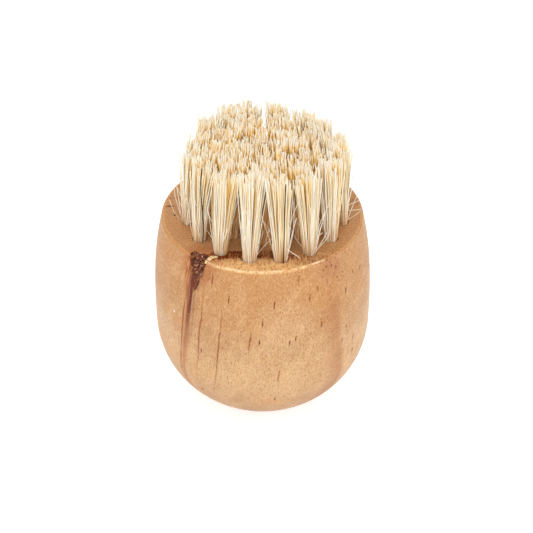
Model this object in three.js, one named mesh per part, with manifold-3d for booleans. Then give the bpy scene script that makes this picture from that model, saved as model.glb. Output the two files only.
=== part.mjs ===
// Round facial brush: a turned wooden block with bristle tufts set in three rings of drilled holes.
// Each tuft is folded round a flat metal anchor, which is driven across the bottom of its hole.
// Millimetres, +Z up. The origin is the centre of the flat base, and the front faces -Y.
import * as THREE from "three";
import { mergeVertices } from "three/addons/utils/BufferGeometryUtils.js";
import Module from "manifold-3d";

// Turned block
const BODY_HEIGHT = 53.5; // flat base to flat top
const BELLY_RADIUS = 27; // greatest radius
const BELLY_HEIGHT = 22.6; // height of the greatest radius
const BASE_RADIUS = 11; // flat that the brush stands on
const RIM_INSET = 2.9; // from the belly in to where the side would meet the top face
const SHOULDER_POWER = 2.76; // how late the side turns in towards the rim
const RIM_EASE = 0.7; // rounding of the rim

// Drilled field
const FIELD_X = 0.7; // the field sits a little off the block's axis
const FIELD_Y = -0.6;
const HOLE_RADIUS = 1.75; // 3.5 mm drill
const HOLE_DEPTH = 10.5; // to the shoulder of the drill point
const DRILL_POINT = 1.2; // height of the cone that the drill leaves
const DRILL_START = 1; // height above the top face where the drill's cut begins
const EDGE_MARGIN = 5.7; // from the rim in to the outer ring
const RING_STEP = 6.4; // from each ring in to the next
const RINGS = [
  { name: "outer", count: 16, firstAngle: -101.25 },
  { name: "middle", count: 9, firstAngle: -90.5 },
  { name: "inner", count: 4, firstAngle: -80 },
];

// Tufts
const BRISTLE_LENGTH = 20; // above the top face
const TIP_DRAW = 2.5; // how far the outer ring's tips lean in over the field
const TRIM_SCATTER = 1.8; // the shortest strands end this much lower
const PACKED_HEIGHT = 1; // the bristles lie packed up to here, above the top face
const STRANDS = 14; // in each tuft, each a lock of bristles that loosens towards its tip
const STRAND_SIDES = 3;
const STRAND_ROOT_RADIUS = 0.26;
const STRAND_TIP_RADIUS = 0.42;
const STRAND_ROOT_DEPTH = 0.6; // how far a strand reaches down into the packed part
const TUFT_GAP = 0.4; // between the fanned tips of neighbouring tufts
const FIT_GAP = 0.3; // round each seated piece

// Anchors
const ANCHOR_THICKNESS = 0.4;
const ANCHOR_WIDTH = 2; // up and down
const ANCHOR_BITE = 0.4; // how far each end reaches into the wall of the hole
const FOLD_THICKNESS = 2; // folded bristle under the anchor, on the axis of the hole

// Smoothness of the round shapes
const BODY_SEGMENTS = 64;
const SIDE_STEPS = 9; // on each of the two curves of the side
const EASE_STEPS = 3;
const HOLE_SEGMENTS = 10;
const GOLDEN_ANGLE = Math.PI * (3 - Math.sqrt(5));
const GOLDEN_SHARE = (Math.sqrt(5) - 1) / 2;

const wasm = await Module();
wasm.setup();

const wood = () => new THREE.MeshStandardMaterial({ color: 0xd9a873, roughness: 0.5, metalness: 0 });
const bristle = () => new THREE.MeshStandardMaterial({ color: 0xe9d9b8, roughness: 0.75, metalness: 0 });
const steel = () => new THREE.MeshStandardMaterial({ color: 0xb9b6ae, roughness: 0.4, metalness: 1 });

// A solid for cutting and joining, from a closed geometry.
function toSolid(geometry) {
  const bare = geometry.clone();
  bare.deleteAttribute("normal");
  bare.deleteAttribute("uv");
  const merged = mergeVertices(bare, 1e-4);
  const corners = Array.from(merged.index.array);
  const faces = [];
  for (let i = 0; i < corners.length; i += 3) {
    const [a, b, c] = corners.slice(i, i + 3);
    if (a !== b && b !== c && c !== a) {
      faces.push(a, b, c);
    }
  }
  return new wasm.Manifold(
    new wasm.Mesh({
      numProp: 3,
      vertProperties: new Float32Array(merged.attributes.position.array),
      triVerts: new Uint32Array(faces),
    }),
  );
}

function toGeometry(solid) {
  const mesh = solid.getMesh();
  const geometry = new THREE.BufferGeometry();
  geometry.setAttribute("position", new THREE.BufferAttribute(mesh.vertProperties, 3));
  geometry.setIndex(new THREE.BufferAttribute(mesh.triVerts, 1));
  geometry.computeVertexNormals();
  return geometry;
}

// A profile of [radius, height] pairs turned about the Z axis.
function turned(profile, segments) {
  const points = profile.map(([radius, height]) => new THREE.Vector2(radius, height));
  return new THREE.LatheGeometry(points, segments).rotateX(Math.PI / 2);
}

// Side of the block: an elliptic curve from the foot to the belly, then a slower curve in to the rim.
function blockProfile() {
  const profile = [[0, 0]];
  const footShare = 1 - (BASE_RADIUS / BELLY_RADIUS) ** 2;
  const easeStart = BODY_HEIGHT - RIM_EASE;
  for (let i = 0; i <= SIDE_STEPS; i += 1) {
    const turn = Math.asin(Math.sqrt(footShare)) * (1 - i / SIDE_STEPS);
    const below = Math.sin(turn) / Math.sqrt(footShare);
    profile.push([BELLY_RADIUS * Math.cos(turn), BELLY_HEIGHT * (1 - below)]);
  }
  let sideRadius = BELLY_RADIUS;
  for (let i = 1; i <= SIDE_STEPS; i += 1) {
    const height = BELLY_HEIGHT + ((easeStart - BELLY_HEIGHT) * i) / SIDE_STEPS;
    const share = (height - BELLY_HEIGHT) / (BODY_HEIGHT - BELLY_HEIGHT);
    sideRadius = BELLY_RADIUS - RIM_INSET * share ** SHOULDER_POWER;
    profile.push([sideRadius, height]);
  }
  for (let i = 1; i <= EASE_STEPS; i += 1) {
    const turn = ((Math.PI / 2) * i) / EASE_STEPS;
    profile.push([sideRadius - RIM_EASE * (1 - Math.cos(turn)), easeStart + RIM_EASE * Math.sin(turn)]);
  }
  profile.push([0, BODY_HEIGHT]);
  return profile;
}

const fieldRadius = BELLY_RADIUS - RIM_INSET - EDGE_MARGIN;

// Hole centres on the top face, ring by ring from the outside, each with how far its tuft's tips lean.
function fieldSeats() {
  return RINGS.flatMap(({ name, count, firstAngle }, ring) =>
    Array.from({ length: count }, (_, i) => {
      const angle = THREE.MathUtils.degToRad(firstAngle + (360 * i) / count);
      const radius = fieldRadius - RING_STEP * ring;
      const spoke = new THREE.Vector2(radius * Math.cos(angle), radius * Math.sin(angle));
      return {
        label: `${name}_${String(i + 1).padStart(2, "0")}`,
        x: FIELD_X + spoke.x,
        y: FIELD_Y + spoke.y,
        lean: spoke.multiplyScalar(-TIP_DRAW / fieldRadius),
      };
    }),
  );
}

const seats = fieldSeats();

// Distance between the two closest hole centres.
function closestPitch() {
  let pitch = Infinity;
  seats.forEach((a, i) => {
    seats.slice(i + 1).forEach((b) => {
      pitch = Math.min(pitch, Math.hypot(a.x - b.x, a.y - b.y));
    });
  });
  return pitch;
}

// Heights inside a hole, from the top face
const plugRadius = HOLE_RADIUS - FIT_GAP;
const pointSlope = DRILL_POINT / HOLE_RADIUS;
const plugBottom = FIT_GAP * Math.hypot(1, pointSlope) - HOLE_DEPTH - DRILL_POINT;
const anchorHeight = plugBottom + FOLD_THICKNESS + FIT_GAP + ANCHOR_WIDTH / 2;
const anchorLength = 2 * (HOLE_RADIUS + ANCHOR_BITE);
const tipPitch = closestPitch() * (1 - TIP_DRAW / fieldRadius);
const fanRadius = (tipPitch - TUFT_GAP) / 2;

// Box round an anchor that leaves the fit gap on every side.
function anchorClearance() {
  const gaps = 2 * FIT_GAP;
  const box = new THREE.BoxGeometry(anchorLength + gaps, ANCHOR_THICKNESS + gaps, ANCHOR_WIDTH + gaps);
  return toSolid(box.translate(0, 0, anchorHeight));
}

// Drilled hole with the marks that the anchor's ends leave in its wall.
function holeCutter() {
  const drill = turned(
    [
      [0, -HOLE_DEPTH - DRILL_POINT],
      [HOLE_RADIUS, -HOLE_DEPTH],
      [HOLE_RADIUS, DRILL_START],
      [0, DRILL_START],
    ],
    HOLE_SEGMENTS,
  );
  return toSolid(drill).add(anchorClearance());
}

function makeBlock() {
  const cutter = holeCutter();
  let solid = toSolid(turned(blockProfile(), BODY_SEGMENTS));
  for (const { x, y } of seats) {
    solid = solid.subtract(cutter.translate([x, y, BODY_HEIGHT]));
  }
  const block = new THREE.Mesh(toGeometry(solid), wood());
  block.name = "wooden_block";
  return block;
}

// One strand on a straight line of the fan: every strand of a tuft points away from the same place
// under the hole, so none cross.
function makeStrand(share, turn, length, lean) {
  const rootReach = plugRadius - STRAND_ROOT_RADIUS;
  const tipReach = fanRadius - STRAND_TIP_RADIUS;
  const at = (height) => {
    const rise = height / BRISTLE_LENGTH;
    const reach = share * (rootReach + (tipReach - rootReach) * rise);
    const x = reach * Math.cos(turn) + lean.x * rise;
    const y = reach * Math.sin(turn) + lean.y * rise;
    return new THREE.Vector3(x, y, height);
  };
  const root = at(PACKED_HEIGHT - STRAND_ROOT_DEPTH);
  const along = at(length).sub(root);
  const rise = along.length();
  const strand = new THREE.CylinderGeometry(STRAND_TIP_RADIUS, STRAND_ROOT_RADIUS, rise, STRAND_SIDES);
  strand.translate(0, rise / 2, 0);
  const tilt = new THREE.Quaternion().setFromUnitVectors(new THREE.Vector3(0, 1, 0), along.normalize());
  return toSolid(strand.applyQuaternion(tilt).translate(root.x, root.y, root.z));
}

// Packed root of a tuft, folded under its anchor, with the strands fanned out above it.
function makeTuft({ label, x, y, lean }, index) {
  const packedRadius = plugRadius + ((fanRadius - plugRadius) * PACKED_HEIGHT) / BRISTLE_LENGTH;
  const root = turned(
    [
      [0, plugBottom],
      [plugRadius, plugBottom + pointSlope * plugRadius],
      [plugRadius, 0],
      [packedRadius, PACKED_HEIGHT],
      [0, PACKED_HEIGHT],
    ],
    HOLE_SEGMENTS,
  );
  let solid = toSolid(root).subtract(anchorClearance());
  for (let k = 0; k < STRANDS; k += 1) {
    const scatter = (k * GOLDEN_SHARE + index * GOLDEN_SHARE ** 2) % 1;
    const length = BRISTLE_LENGTH - TRIM_SCATTER * scatter;
    solid = solid.add(makeStrand(Math.sqrt((k + 0.5) / STRANDS), (k + index) * GOLDEN_ANGLE, length, lean));
  }
  const tuft = new THREE.Mesh(toGeometry(solid), bristle());
  tuft.name = `tuft_${label}`;
  tuft.position.set(x, y, BODY_HEIGHT);
  return tuft;
}

function makeAnchor({ label, x, y }) {
  const strip = new THREE.BoxGeometry(anchorLength, ANCHOR_THICKNESS, ANCHOR_WIDTH);
  const anchor = new THREE.Mesh(strip, steel());
  anchor.name = `anchor_${label}`;
  anchor.position.set(x, y, BODY_HEIGHT + anchorHeight);
  return anchor;
}

const brush = new THREE.Group();
brush.name = "facial_brush";
brush.add(makeBlock());
brush.add(...seats.map(makeTuft));
brush.add(...seats.map(makeAnchor));

export default brush;
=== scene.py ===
"""Round facial brush: a turned, lacquered wooden block with rings of natural bristle tufts."""

import math

import bpy
import numpy as np
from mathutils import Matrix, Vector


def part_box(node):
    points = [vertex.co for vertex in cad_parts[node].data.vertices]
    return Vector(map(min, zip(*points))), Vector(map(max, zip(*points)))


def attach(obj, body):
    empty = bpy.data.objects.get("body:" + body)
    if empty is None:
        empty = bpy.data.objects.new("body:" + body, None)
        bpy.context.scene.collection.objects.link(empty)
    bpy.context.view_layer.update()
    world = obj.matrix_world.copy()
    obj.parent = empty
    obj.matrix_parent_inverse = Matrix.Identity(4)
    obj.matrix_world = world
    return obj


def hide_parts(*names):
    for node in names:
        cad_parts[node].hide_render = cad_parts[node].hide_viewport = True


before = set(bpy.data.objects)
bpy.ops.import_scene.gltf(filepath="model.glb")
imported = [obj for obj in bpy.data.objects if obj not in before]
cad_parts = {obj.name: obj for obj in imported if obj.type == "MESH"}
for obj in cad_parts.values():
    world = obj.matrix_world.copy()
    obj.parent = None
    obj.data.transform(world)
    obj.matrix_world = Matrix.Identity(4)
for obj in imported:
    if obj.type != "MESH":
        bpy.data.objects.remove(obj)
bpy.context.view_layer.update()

MM = 0.001
GOLDEN_ANGLE = math.pi * (3 - math.sqrt(5))

# Camera of the photograph
IMAGE_SIZE = 533
AXIS_COLUMN = 262.5
FOCAL_PIXELS = 1205.4
SENSOR_WIDTH = 36.0
CAMERA_DISTANCE = 300.0
CAMERA_ELEVATION = 37.98
AIM_HEIGHT = 36.6
NEAREST_SEEN = 0.01

# Turned block, in millimetres
BLOCK_LOW, BLOCK_HIGH = (np.array(corner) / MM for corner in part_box("wooden_block"))
BODY_HEIGHT = BLOCK_HIGH[2]
BELLY_RADIUS = (BLOCK_HIGH[0] - BLOCK_LOW[0]) / 2
BELLY_HEIGHT = 22.6
BASE_RADIUS = 11.0
RIM_RADIUS = 24.1
SHOULDER_POWER = 2.76
RIM_EASE = 0.7
HOLE_RADIUS = 1.75
HOLE_DEPTH = 10.5
DRILL_POINT = 1.2
MOUTH_EASE = 0.15
DRILL_ABOVE = 1.0
POLE_RADIUS = 0.05
SHARP_ANGLE = math.radians(40)

# Rows of points up the block's outline, and columns round the block, its holes and the splinter
BASE_ROWS = 7
LOWER_ROWS = 34
UPPER_ROWS = 69
RIM_ROWS = 8
TOP_ROWS = 60
BLOCK_COLUMNS = 320
HOLE_COLUMNS = 40
SPLINTER_ROWS = 36
SPLINTER_COLUMNS = 12

# Growth rings: the heart of the tree lies in front of the block, and the grain leans a little to the right.
# The dark late wood has its own width above and below on the left, on the right, and on the top face.
HEART_X = 0.2
HEART_Y = -102.0
RING_RADIUS = 86.6
RING_SPACING = 23.5
LATE_WOOD = 4.6
LOW_LATE_WOOD = 2.6
RIGHT_LATE_WOOD = 7.6
TOP_LATE_WOOD = 5.0
BACK_LATE_WOOD = 1.3
RING_SWAY = 1.0
RING_SWAY_HEIGHT = 32.0
GRAIN_LEAN = 0.097
FIGURE_SLANT = 0.5
CHIP_SLANT = 0.3

# Where one look of the wood passes into another: limits across, in depth and in height
LEFT_TO_RIGHT = (-4.0, 10.0)
FRONT_FADE = (-4.0, -10.0)
RING_TO_BACK = (-13.0, -10.0)
TOP_TO_FRONT = (-19.0, -15.5)
TOP_FACE = (BODY_HEIGHT - 0.5, BODY_HEIGHT - 0.1)
HOLE_WALLS = (BODY_HEIGHT - 0.05, BODY_HEIGHT - 0.4)
BELOW_HOLES = (30.0, 40.0)
FIELD_EDGE = (22.0, 21.0)

# Single marks: their centres, and half their sizes
KNOT = (-14.0, -18.5, 52.0)
SPECKS = (16.4, -18.3, 51.4)
PIN_MARK = (-20.9, -1.6, 53.5)
PIN_MARK_REACH = (0.5, 0.5, 0.5)
PALE_SPOT = (-21.0, -16.5, 36.0)
PALE_SPOT_REACH = (0.4, 0.4, 0.4)
RIM_MARK = (-22.3, 2.0, 53.5)
RIM_MARK_REACH = (1.6, 0.4, 1.0)
PALE_LOBE = (5.0, 38.0)
PALE_LOBE_REACH = (9.0, 12.0)

# Dark flecks on the front, each by its place across, its height and half its length
FLECKS = [
    (-7.6, 45.8, 1.7), (2.8, 45.5, 1.3), (0.1, 40.4, 1.4), (10.9, 45.6, 1.0), (13.9, 37.3, 1.1),
    (8.3, 50.9, 1.1), (-11.3, 50.0, 1.8), (6.4, 34.3, 1.0), (7.8, 35.2, 1.0), (19.6, 43.1, 1.0),
    (23.1, 45.3, 0.8), (22.0, 27.0, 1.2), (22.0, 22.8, 0.8), (19.1, 29.0, 0.8), (3.0, 16.0, 0.9),
    (-14.7, 14.7, 0.9), (12.7, 47.5, 0.8),
]
FLECK_HALF_WIDTH = 0.21
# Long dark lines of resin on the front, given in the same way
RESIN_LINES = [(-14.7, 34.5, 14.5), (-10.4, 31.0, 13.5), (3.8, 24.5, 2.6), (-2.8, 35.0, 3.6)]
LINE_HALF_WIDTH = 0.26
# The dark core of the streak below the chip
RESIN_CORES = [(-17.0, 41.0, 8.0)]
CORE_HALF_WIDTH = 0.55

# Broken resin pocket on the front left of the rim
CHIP_ANGLE = math.radians(-127.6)
CHIP_HALF_WIDTH = 2.9
CHIP_LENGTH = 9.4
CHIP_DEPTH = 1.2
CHIP_RIGHT_X = -11.8
CHIP_RIGHT_SLANT = 0.45
CHIP_BACK_Y = -17.0
CHIP_ROUGHNESS = 0.35
CHIP_SIDE_EASE = 0.7
CHIP_TOP_EASE = 0.6
CHIP_LEFT = (-3.4, -2.6)
CHIP_REACH_IN = (1.2, 0.5)
CHIP_REACH_DOWN = (1.2, 0.3)
CHIP_FROM_RIM = (0.1, 0.5)
CHIP_MEAN_SHARE = 0.75
# Ripples of the chip's depth: the share, the wavelength and the seed
CHIP_RIPPLES = [(0.35, 1.3, 4), (0.2, 0.6, 5)]
# Mesh columns are closer together near the chip, by this much and over this reach
CHIP_CLOSER = 6.0
CHIP_CLOSER_REACH = 5.0

# Rim lines: a warm painted highlight all round the rim, and a pale line along its front that is partly wear
# and partly painted highlight
RIM_LINE_EDGE = (0.58, 0.1)
RIM_LINE_INSET = 0.45
RIM_LINE_DROP = 0.2
PALE_LINE_MIDDLE = math.radians(-88)
PALE_LINE_REACH = (math.radians(38), math.radians(32))

# Lifted splinter: points that steer its path, with heights from the top face, and half its sizes
SPLINTER_PATH = [(-12.7, -20.1, -0.4), (-12.4, -18.9, 0.15), (-11.4, -18.3, 0.35), (-10.1, -18.4, 0.2)]
SPLINTER_HALF_WIDTH = 0.55
SPLINTER_HALF_THICKNESS = 0.2
SPLINTER_ROUGHNESS = 0.22

# Studio light: each soft box by its name, its place and size in millimetres and its power in watts
SOFT_BOXES = [
    ("key", (-40, -420, 330), 200, 0.88),
    ("left_side", (-430, -160, 140), 320, 0.32),
    ("right_side", (430, -160, 140), 320, 0.6),
    ("top", (-40, 40, 480), 360, 0.6),
]
SKY_LIGHT = 0.65
FLOOR_LIFT = 0.5
FLOOR_REACH = 1500.0

# Bristles
BRISTLE_SEED = 11
FIBRES = 150
FIBRE_RADIUS = 0.15
FIBRE_SIDES = 4
ROOT_DEPTHS = np.array([-10.2, -9.0, -6.5, -0.4])
ROOT_GATHER = np.array([0.1, 0.6, 1.0, 1.0])
FREE_HEIGHTS = np.array([0.1, 0.28, 0.46, 0.64, 0.82, 1.0])
FIBRE_STATIONS = len(ROOT_DEPTHS) + len(FREE_HEIGHTS)
FIBRE_TAPER = 0.85
FIBRE_TWIST = 2.4
NO_FIBRE_WAY = (0.3, 1.0, 0.1)
EARLY_LEAN = 0.7
LEAN_POWER = 1.7
FIBRE_SPREAD = (0.75, 1.15)
ANCHOR_ROOM = 0.4
ROOT_RADIUS = 1.55
# Extra lean of the tufts on the right
SPLAY = {"outer_03": (0.4, 0.0), "outer_04": (1.5, -0.3), "outer_05": (1.5, 0.0), "outer_06": (0.6, 0.0)}
CORE_FAN = {"outer": 2.6, "middle": 3.3, "inner": 3.3}
EDGE_FLARE = 1.0
FLARE_POWER = 6
TIP_DRAW = 2.6
LOCKS = 8
LOCK_PULL = 0.35
LOCK_SHAKE = 0.12
ROOT_SHAKE = 0.03
TIP_SHAKE = 0.26
TUFT_SHAKE = 0.3
# Uneven tips: how much whole tufts, locks and fibres differ in height, and the longest fibres
TUFT_UNEVEN = 0.5
LOCK_UNEVEN = 0.8
FIBRE_DROP = 0.9
LONG_SHARE = 0.2
LONG_EXTRA = (0.5, 2.2)
TALLEST_EXTRA = (0.5, 1.8)
FIBRE_BOW = 0.13
FIBRE_WAVE = 0.06
# Tone of the fibres, from straw at 0 to pale ivory at 1: the mean, and how much fibres and locks differ
MEAN_TONE = 0.6
FIBRE_TONE = 0.2
LOCK_TONE = 0.1
TONE_LIMITS = (0.02, 1.0)
DARK_TONE = -1.0
BENT_TONE = 0.8
STRAY_TONE = (0.5, 1.0)
# Limits, as shares of the way out from a tuft's middle, for fibres that are open, lit and turned outward; the
# others get painted shade in their colour
OPEN_SHARE = (0.55, 0.9)
LIT_SHARE = (0.5, 0.85)
TURNED_OUT = (0.7, 0.1)
# Loose fibres
STRAYS = 9
STRAY_ROOT = 0.95
STRAY_REACH = (2.8, 4.8)
STRAY_HEIGHT = (6, 18)
STRAY_SHAKE = 0.7
STRAY_BOW = 0.45
STRAY_WAVE = 0.2
STRAY_RADIUS = 0.08
DARK_RADIUS = 0.125
# Dark fibres: the tuft, the root and the tip from the tuft's own middle, the length and the wave
DARK_FIBRES = [
    ("outer_02", (0.5, -1.6), (1.4, -3.35), 20.8, 0.04),
    ("outer_15", (0.7, -1.55), (-0.9, -3.35), 20.4, 0.3),
]
# Bent fibres: the tuft and points along the fibre, with heights from the top face
BENT_FIBRES = [
    ("outer_05", [(18.9, -4.6, 0.2), (20.4, -4.4, 0.6), (23.9, -4.0, 3.4), (20.0, -4.2, 3.1)]),
    ("outer_05", [(19.4, -4.2, 1.5), (20.4, -4.0, 4.7), (23.2, -3.8, 5.9)]),
    ("outer_14", [(-18.8, -4.8, 0.1), (-19.2, -4.9, 2.6), (-19.9, -4.6, 11.3)]),
    ("outer_14", [(-17.9, -5.9, 0.0), (-17.2, -6.0, 1.0), (-16.4, -5.7, 1.4)]),
    ("outer_01", [(-1.6, -18.6, 0.2), (0.2, -17.6, 2.4), (2.6, -17.0, 4.9)]),
    ("outer_02", [(5.4, -20.4, 4.2), (7.0, -20.2, 2.6), (8.6, -19.8, 1.0)]),
    ("outer_15", [(-13.4, -11.9, 4.0), (-12.0, -12.6, 2.2), (-11.0, -13.6, 0.8)]),
]


def box_centre(node):
    low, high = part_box(node)
    return np.array((low + high) / 2) / MM


def smooth_step(low, high, value):
    """Zero below low, one above high, and a cubic ease between them."""
    share = np.clip((value - low) / (high - low), 0.0, 1.0)
    return share * share * (3.0 - 2.0 * share)


def ripple(points, wavelength, seed):
    """Soft noise between about -1 and 1: a quarter of the sum of nine sine waves in seeded directions."""
    rng = np.random.default_rng(seed)
    waves = rng.normal(size=(9, 3)) * (2 * np.pi / wavelength) / np.sqrt(3)
    phases = rng.uniform(0, 2 * np.pi, 9)
    return np.sin(points @ waves.T + phases).sum(-1) / 4.0


def grid_quads(rows, columns):
    """Quads of a grid that closes on itself across its columns."""
    row, column = np.meshgrid(np.arange(rows - 1), np.arange(columns), indexing="ij")
    beside = (column + 1) % columns
    here = row * columns
    ahead = here + columns
    return np.stack([here + column, here + beside, ahead + beside, ahead + column], -1).reshape(-1, 4)


def make_mesh(name, points, loops, sizes, smooth=True):
    """Mesh object at the origin from points in millimetres and one flat array of face corners."""
    mesh = bpy.data.meshes.new(name)
    mesh.vertices.add(len(points))
    mesh.vertices.foreach_set("co", (points * MM).astype(np.float32).ravel())
    mesh.loops.add(len(loops))
    mesh.loops.foreach_set("vertex_index", loops.astype(np.int32))
    mesh.polygons.add(len(sizes))
    mesh.polygons.foreach_set("loop_start", np.concatenate([[0], np.cumsum(sizes)[:-1]]).astype(np.int32))
    mesh.polygons.foreach_set("use_smooth", np.full(len(sizes), smooth))
    mesh.update(calc_edges=True)
    mesh.validate()
    piece = bpy.data.objects.new(name, mesh)
    bpy.context.scene.collection.objects.link(piece)
    return piece


def turned_mesh(name, points):
    """Closed mesh from a rows by columns grid of points whose first and last rows are drawn to a pole."""
    rows, columns = points.shape[:2]
    poles = np.stack([points[0].mean(0), points[-1].mean(0)])
    quads = grid_quads(rows, columns)
    around = np.arange(columns)
    beside = (around + 1) % columns
    first = np.stack([np.full(columns, rows * columns), beside, around], -1)
    last_row = (rows - 1) * columns
    last = np.stack([np.full(columns, rows * columns + 1), last_row + around, last_row + beside], -1)
    loops = np.concatenate([quads.ravel(), first.ravel(), last.ravel()])
    sizes = np.concatenate([np.full(len(quads), 4), np.full(2 * columns, 3)])
    return make_mesh(name, np.concatenate([points.reshape(-1, 3), poles]), loops, sizes)


def set_attribute(piece, name, values):
    layer = piece.data.attributes.new(name, "FLOAT", "POINT")
    layer.data.foreach_set("value", np.asarray(values, np.float32))


# Materials

def tint(red, green, blue):
    """Linear colour of a screen colour from 0 to 255."""
    share = np.array([red, green, blue]) / 255.0
    linear = np.where(share <= 0.04045, share / 12.92, ((share + 0.055) / 1.055) ** 2.4)
    return (*linear.tolist(), 1.0)


# Colours of the plain wood
DULL_WOOD = tint(190, 148, 107)
PALE_WOOD = tint(206, 167, 126)
HONEY_WOOD = tint(208, 148, 84)
UPPER_WOOD = tint(188, 132, 74)
PALE_CLOUD = tint(224, 184, 138)
LOBE_WOOD = tint(218, 180, 138)
DARK_GRAIN = tint(174, 112, 60)
PALE_GRAIN = tint(240, 202, 154)
PALE_FIGURE = tint(234, 190, 140)
DARK_FIGURE = tint(188, 128, 74)
# End grain on the top face behind the ring, with painted shade from the tufts mixed in
DARK_END_GRAIN_AND_SHADE = tint(156, 102, 58)
PALE_END_GRAIN_AND_SHADE = tint(204, 154, 104)
TOP_FRONT = tint(242, 196, 134)
TOP_MARKS = tint(180, 98, 42)

# Colours of the ring, the marks, the chip, the rim with its painted highlights, and the painted shade in the
# holes
KNOT_STAIN = tint(160, 82, 40)
RING_BROWN = tint(180, 98, 42)
RING_BY_KNOT = tint(112, 44, 14)
RING_DARK_STRAND = tint(150, 78, 40)
RING_PALE_STRAND = tint(202, 136, 84)
RING_ON_RIGHT = tint(164, 96, 48)
RING_DARK_RAY = tint(92, 38, 12)
RING_PALE_RAY = tint(152, 80, 34)
PORE_BROWN = tint(148, 66, 24)
CORE_BROWN = tint(96, 30, 14)
LINE_BROWN = tint(146, 68, 30)
FLECK_BROWN = tint(120, 50, 20)
PIN_BROWN = tint(60, 30, 16)
PALE_SPOT_COLOUR = tint(244, 228, 208)
RIM_MARK_BROWN = tint(122, 50, 30)
SPECK_STAIN = tint(160, 96, 60)
SPECK_BROWN = tint(104, 46, 40)
DARK_FACET = tint(80, 32, 18)
PALE_FACET = tint(132, 76, 48)
GLINT = tint(204, 172, 140)
BROKEN_EDGE = tint(70, 24, 12)
# painted highlight: a warm line round the rim
WARM_RIM_HIGHLIGHT = tint(222, 160, 96)
# partly wear, partly painted highlight: the pale line along the front of the rim
PALE_RIM_WEAR_AND_HIGHLIGHT = tint(246, 216, 174)
# painted shade down the drilled holes
HOLE_SHADE = tint(84, 44, 20)
TORN_DARK = tint(206, 164, 102)
TORN_PALE = tint(250, 230, 182)

# Colours of the bristle with its painted shade, the wire and the floor
STRAW = tint(253, 220, 158)
IVORY = tint(252, 237, 203)
PALE_IVORY = tint(250, 243, 227)
# painted shade: a golden tint for fibres inside a tuft, and a browner one lower down for buried fibres
GOLDEN_SHADE = tint(255, 212, 116)
SHADED_STRAW = tint(234, 170, 98)
CUT_TIP = tint(250, 245, 236)
# painted shade between the strands at the roots
ROOT_SHADE = tint(204, 150, 90)
STREAK_BROWN = tint(222, 182, 118)
DARK_BRISTLE = tint(38, 28, 22)
DULL_WIRE = tint(150, 146, 138)
BRIGHT_WIRE = tint(196, 192, 184)
PALE_PAINT = tint(236, 236, 236)


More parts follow.
